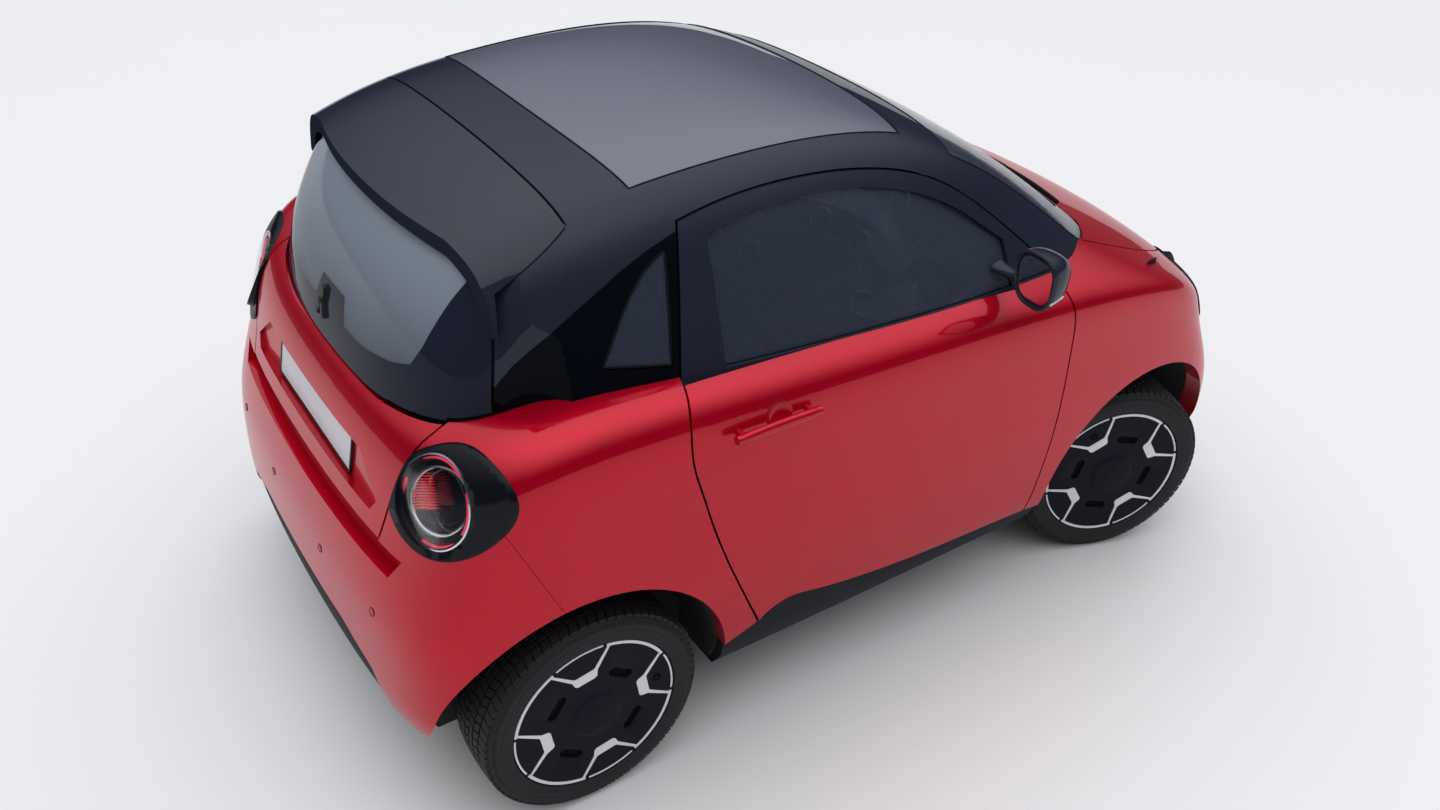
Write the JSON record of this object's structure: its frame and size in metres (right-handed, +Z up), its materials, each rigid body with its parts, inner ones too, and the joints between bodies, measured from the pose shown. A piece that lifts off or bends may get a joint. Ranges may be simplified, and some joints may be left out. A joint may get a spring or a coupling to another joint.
{
  "type": "microcar",
  "caption": "Short city car with swinging doors, glass hatch, drop-down tailgate, bonnet, steered front wheels, a dark glazed roof and glossy black pillars.",
  "frame": {"origin": "on the ground, under the middle of the overall length and width", "axes": "+X towards the nose, +Y towards the car's left side, +Z up"},
  "size_m": [2.8101, 1.924, 1.542],
  "materials": {
    "red_paint": "metallic clear coat",
    "gloss_black": "high gloss",
    "dark_trim": "fine grain",
    "tinted_glass": "tinted",
    "roof_glass": "dark tint",
    "lamp_lens": "clear and red lens",
    "headlamp_lens": "clear lens",
    "tyre": "moulded",
    "wheel_dark": "dark lacquer",
    "steel": "satin",
    "underbody": "sealed",
    "battery": "plain",
    "motor": "cast",
    "liner": "matt",
    "cabin_trim": "grained",
    "seat_fabric": "woven"
  },
  "bodies": {
    "car_body": {"battery_pack": "battery", "cabin_lining": "cabin_trim", "cowl": "gloss_black", "dashboard": "cabin_trim", "drive_motor": "motor", "fender_left": "red_paint", "fender_right": "red_paint", "floor_pan": "underbody", "front_bumper": "red_paint", "front_grille": "dark_trim", "front_subframe": "steel", "headlamps": "headlamp_lens", "quarter_glasses": "tinted_glass", "quarter_left": "red_paint", "quarter_right": "red_paint", "rear_axle": "steel", "rear_bumper": "red_paint", "rear_diffuser": "dark_trim", "rear_lamps": "lamp_lens", "roof_frame": "gloss_black", "roof_glass": "roof_glass", "seat_left": "seat_fabric", "seat_right": "seat_fabric", "sills": "dark_trim", "wheel_liners": "liner", "windscreen": "tinted_glass"},
    "bonnet": {"bonnet": "red_paint"},
    "hatch": {"tailgate_frame": "gloss_black", "tailgate_glass": "tinted_glass", "spoiler": "gloss_black"},
    "tailgate": {"tailgate": "red_paint"},
    "steering_wheel": {"steering_wheel": "cabin_trim"},
    "door_left": {"door_left": "red_paint", "door_frame_left": "gloss_black", "door_glass_left": "tinted_glass", "mirror_left": "gloss_black"},
    "knuckle_left": {"knuckle_left": "steel"},
    "wheel_front_left": {"tyre_front_left": "tyre", "wheel_front_left": "wheel_dark"},
    "wheel_rear_left": {"tyre_rear_left": "tyre", "wheel_rear_left": "wheel_dark"},
    "door_right": {"door_right": "red_paint", "door_frame_right": "gloss_black", "door_glass_right": "tinted_glass", "mirror_right": "gloss_black"},
    "knuckle_right": {"knuckle_right": "steel"},
    "wheel_front_right": {"tyre_front_right": "tyre", "wheel_front_right": "wheel_dark"},
    "wheel_rear_right": {"tyre_rear_right": "tyre", "wheel_rear_right": "wheel_dark"}
  },
  "joints": [
    {"name": "steer_left", "type": "hinge", "parent": "car_body", "child": "knuckle_left", "pos_m": [0.907, 0.67, 0.296], "axis": [0, 0, 1], "range_deg": [-18.8, 57.2]},
    {"name": "spin_front_left", "type": "hinge", "parent": "knuckle_left", "child": "wheel_front_left", "pos_m": [0.92344, 0.71722, 0.296], "axis": [0.3289, 0.9444, 0], "continuous": true},
    {"name": "spin_rear_left", "type": "hinge", "parent": "car_body", "child": "wheel_rear_left", "pos_m": [-0.965, 0.72, 0.296], "axis": [0, 1, 0], "continuous": true},
    {"name": "door_swing_left", "type": "hinge", "parent": "car_body", "child": "door_left", "pos_m": [0.518, 0.842, 0.78], "axis": [0, 0, -1], "range_deg": [0, 65]},
    {"name": "steer_right", "type": "hinge", "parent": "car_body", "child": "knuckle_right", "pos_m": [0.907, -0.67, 0.296], "axis": [0, 0, 1], "range_deg": [-18.8, 57.2]},
    {"name": "spin_front_right", "type": "hinge", "parent": "knuckle_right", "child": "wheel_front_right", "pos_m": [0.89056, -0.71722, 0.296], "axis": [0.3289, 0.9444, 0], "continuous": true},
    {"name": "spin_rear_right", "type": "hinge", "parent": "car_body", "child": "wheel_rear_right", "pos_m": [-0.965, -0.72, 0.296], "axis": [0, 1, 0], "continuous": true},
    {"name": "door_swing_right", "type": "hinge", "parent": "car_body", "child": "door_right", "pos_m": [0.518, -0.842, 0.78], "axis": [0, 0, 1], "range_deg": [0, 65]},
    {"name": "bonnet_lift", "type": "hinge", "parent": "car_body", "child": "bonnet", "pos_m": [0.66, 0, 1.06], "axis": [0, -1, 0], "range_deg": [0, 45]},
    {"name": "hatch_lift", "type": "hinge", "parent": "car_body", "child": "hatch", "pos_m": [-0.846, 0, 1.518], "axis": [0, 1, 0], "range_deg": [0, 70]},
    {"name": "tailgate_drop", "type": "hinge", "parent": "car_body", "child": "tailgate", "pos_m": [-1.352, 0, 0.776], "axis": [0, -1, 0], "range_deg": [0, 85]},
    {"name": "steering_turn", "type": "hinge", "parent": "car_body", "child": "steering_wheel", "pos_m": [0.195, 0.345, 0.905], "axis": [-0.9135, 0, 0.4067], "range_deg": [-265, 802]}
  ],
  "couplings": [
    {"joint": "steer_right", "follows": "steer_left", "ratio": 1},
    {"joint": "steering_turn", "follows": "steer_left", "ratio": 14}
  ]
}
